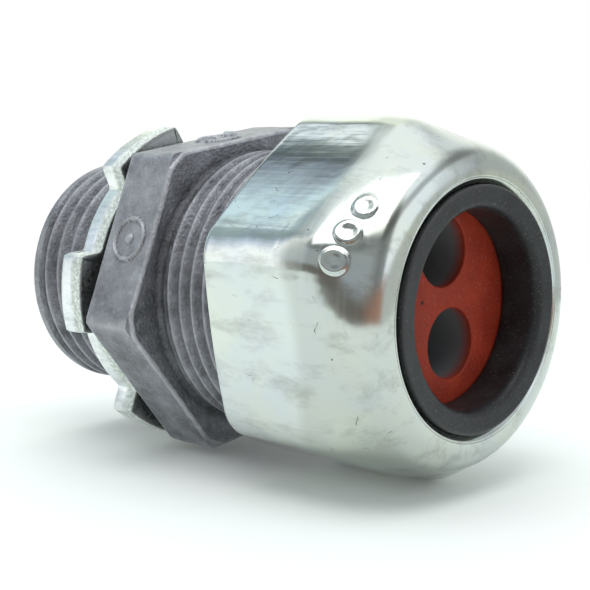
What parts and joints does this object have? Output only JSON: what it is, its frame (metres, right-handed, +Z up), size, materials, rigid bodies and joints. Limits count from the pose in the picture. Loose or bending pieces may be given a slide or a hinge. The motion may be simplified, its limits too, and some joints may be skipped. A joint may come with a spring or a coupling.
{
  "type": "conduit compression fitting",
  "caption": "Straight liquid-tight compression connector: threaded hub with locknut, hexagonal flange, domed gland nut and grommet with cable holes.",
  "frame": {"origin": "on the axis of the fitting, in the face of the flange that clamps the wall of a box", "axes": "+X along the axis, out of the mouth of the gland nut; the threaded hub points along -X; +Z is up with the fitting lying on its side"},
  "size_m": [0.0437, 0.0296, 0.0294],
  "materials": {
    "cast_zinc": "as-cast zinc alloy, matte grey with fine grain",
    "plated_nut": "bright zinc-plated steel with fine lengthwise scratches",
    "plated_locknut": "bright zinc-plated stamped steel, rough on its sheared edges",
    "washer_rubber": "matte black rubber",
    "ring_nylon": "satin charcoal nylon",
    "grommet_rubber": "matte brick-red rubber"
  },
  "bodies": {
    "fitting_body": {"connector_body": "cast_zinc"},
    "gland_pack": {"thrust_ring": "ring_nylon", "grommet": "grommet_rubber"},
    "gland_nut": {"gland_nut": "plated_nut"},
    "washer": {"sealing_washer": "washer_rubber"},
    "locknut": {"locknut": "plated_locknut"}
  },
  "joints": [
    {"name": "gland_travel", "type": "slide", "parent": "fitting_body", "child": "gland_pack", "axis": [1, 0, 0], "range_m": [-0.00213, 0.00918]},
    {"name": "gland_nut_turn", "type": "hinge", "parent": "gland_pack", "child": "gland_nut", "pos_m": [0, 0, 0], "axis": [1, 0, 0], "range_deg": [-540, 2340]},
    {"name": "washer_travel", "type": "slide", "parent": "fitting_body", "child": "washer", "axis": [-1, 0, 0], "range_m": [0, 0.00799]},
    {"name": "locknut_turn", "type": "hinge", "parent": "washer", "child": "locknut", "pos_m": [0, 0, 0], "axis": [-1, 0, 0], "range_deg": [0, 1584]}
  ],
  "couplings": [
    {"joint": "gland_travel", "follows": "gland_nut_turn", "m_per_rad": 0.00022459},
    {"joint": "washer_travel", "follows": "locknut_turn", "m_per_rad": 0.00028875}
  ]
}
